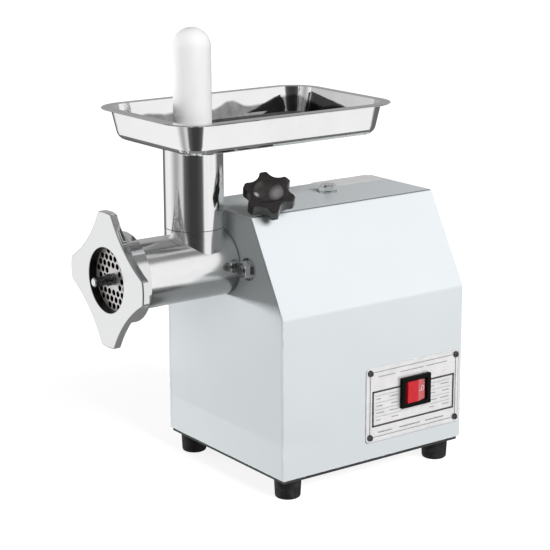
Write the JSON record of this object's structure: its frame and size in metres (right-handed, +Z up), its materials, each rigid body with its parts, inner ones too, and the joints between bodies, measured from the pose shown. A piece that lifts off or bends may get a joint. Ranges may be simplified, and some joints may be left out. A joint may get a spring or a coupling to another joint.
{
  "type": "electric meat grinder",
  "caption": "Electric meat grinder: sheet-metal housing on rubber feet, plug-in cutting head with feed tube, tray and pusher, lobed ring nut, clamp knob and rocker switch",
  "frame": {"origin": "centre of the bounding box's footprint, on the surface that the rubber feet stand on", "axes": "+Z up, the head points along -Y, the switch and the clamp knob are on the +X side"},
  "size_m": [0.1747, 0.327, 0.3838],
  "materials": {
    "housing_paint": "satin",
    "black_paint": "satin",
    "black_rubber": "matte",
    "zinc_steel": "satin",
    "dark_steel": "satin",
    "polished_steel": "polished",
    "head_casting": "polished",
    "ring_casting": "satin",
    "cutter_steel": "satin",
    "auger_casting": "satin",
    "gearbox_casting": "cast",
    "gear_steel": "oiled",
    "bearing_steel": "ground",
    "plate_metal": "satin",
    "white_plastic": "satin",
    "black_plastic": "gloss",
    "red_plastic": "gloss",
    "gland_plastic": "satin",
    "gasket_fibre": "matte",
    "core_steel": "laminated",
    "copper_wire": "enamelled",
    "cap_plastic": "satin",
    "block_plastic": "matte"
  },
  "bodies": {
    "housing": {"cover": "housing_paint", "front_panel": "housing_paint", "rear_panel": "housing_paint", "rear_screws": "zinc_steel", "base_plate": "black_paint", "feet": "black_rubber", "foot_screws": "zinc_steel", "foot_nuts": "zinc_steel", "cable_gland": "gland_plastic", "gland_nut": "gland_plastic", "name_plate": "plate_metal", "plate_screws": "dark_steel", "switch_body": "black_plastic", "roof_bolt": "polished_steel", "roof_washer": "zinc_steel", "roof_bracket": "zinc_steel", "bracket_screws": "zinc_steel", "gearbox_case": "gearbox_casting", "gearbox_gasket": "gasket_fibre", "gearbox_cover": "gearbox_casting", "gearbox_screws": "zinc_steel", "front_studs": "zinc_steel", "front_nuts": "polished_steel", "front_washers": "zinc_steel", "output_bearings": "bearing_steel", "idler_bearings": "bearing_steel", "motor_bearings": "bearing_steel", "motor_shell": "black_paint", "stator_core": "core_steel", "stator_windings": "copper_wire", "motor_end_shield": "gearbox_casting", "tie_bolts": "zinc_steel", "motor_cradle": "black_paint", "cradle_screws": "zinc_steel", "capacitor": "cap_plastic", "capacitor_clip": "zinc_steel", "terminal_block": "block_plastic"},
    "head": {"barrel": "head_casting", "feed_tube": "polished_steel", "plate_key": "dark_steel"},
    "auger": {"auger": "auger_casting", "auger_pin": "dark_steel", "knife": "cutter_steel", "auger_washer": "white_plastic"},
    "plate": {"grinding_plate": "cutter_steel"},
    "ring": {"ring_nut": "ring_casting"},
    "tray": {"tray": "polished_steel"},
    "pusher": {"pusher": "white_plastic"},
    "stud": {"clamp_stud": "zinc_steel"},
    "knob": {"clamp_knob": "black_plastic"},
    "rocker": {"rocker": "red_plastic"},
    "rotor": {"rotor_shaft": "gear_steel", "rotor_core": "core_steel", "fan": "cap_plastic"},
    "idler": {"idler_shaft": "gear_steel", "idler_gear": "gear_steel"},
    "output": {"output_shaft": "gear_steel", "output_gear": "gear_steel", "output_key": "dark_steel"}
  },
  "joints": [
    {"name": "head_pull", "type": "slide", "parent": "housing", "child": "head", "axis": [0, -1, 0], "range_m": [0, 0.06]},
    {"name": "auger_spin", "type": "hinge", "parent": "head", "child": "auger", "pos_m": [0, -0.09005, 0.1895], "axis": [0, -1, 0], "continuous": true},
    {"name": "plate_travel", "type": "slide", "parent": "head", "child": "plate", "axis": [0, -1, 0], "range_m": [0, 0.0091]},
    {"name": "ring_turn", "type": "hinge", "parent": "plate", "child": "ring", "pos_m": [0, -0.14005, 0.1895], "axis": [0, -1, 0], "range_deg": [0, 1080]},
    {"name": "tray_lift", "type": "slide", "parent": "head", "child": "tray", "axis": [0, 0, 1], "range_m": [0, 0.06]},
    {"name": "pusher_lift", "type": "slide", "parent": "head", "child": "pusher", "axis": [0, 0, 1], "range_m": [0, 0.14]},
    {"name": "stud_travel", "type": "slide", "parent": "housing", "child": "stud", "axis": [0.5457, -0.342, 0.765], "range_m": [0, 0.0045]},
    {"name": "knob_turn", "type": "hinge", "parent": "stud", "child": "knob", "pos_m": [0, 0.00345, 0.1895], "axis": [0.5457, -0.342, 0.765], "range_deg": [0, 1081]},
    {"name": "rocker_tilt", "type": "hinge", "parent": "housing", "child": "rocker", "pos_m": [0.0828, 0.09745, 0.0725], "axis": [0, 0, -1], "range_deg": [0, 20]},
    {"name": "rotor_spin", "type": "hinge", "parent": "housing", "child": "rotor", "pos_m": [0, 0.09495, 0.0855], "axis": [0, -1, 0], "continuous": true},
    {"name": "idler_spin", "type": "hinge", "parent": "housing", "child": "idler", "pos_m": [0, 0.03995, 0.1355], "axis": [0, -1, 0], "continuous": true},
    {"name": "output_spin", "type": "hinge", "parent": "housing", "child": "output", "pos_m": [0, 0.01995, 0.1895], "axis": [0, -1, 0], "continuous": true}
  ],
  "couplings": [
    {"joint": "idler_spin", "follows": "rotor_spin", "ratio": -0.25},
    {"joint": "output_spin", "follows": "rotor_spin", "ratio": 0.125},
    {"joint": "auger_spin", "follows": "rotor_spin", "ratio": 0.125},
    {"joint": "plate_travel", "follows": "ring_turn", "m_per_rad": 0.00047746},
    {"joint": "knob_turn", "follows": "stud_travel", "rad_per_m": 4188.8}
  ]
}
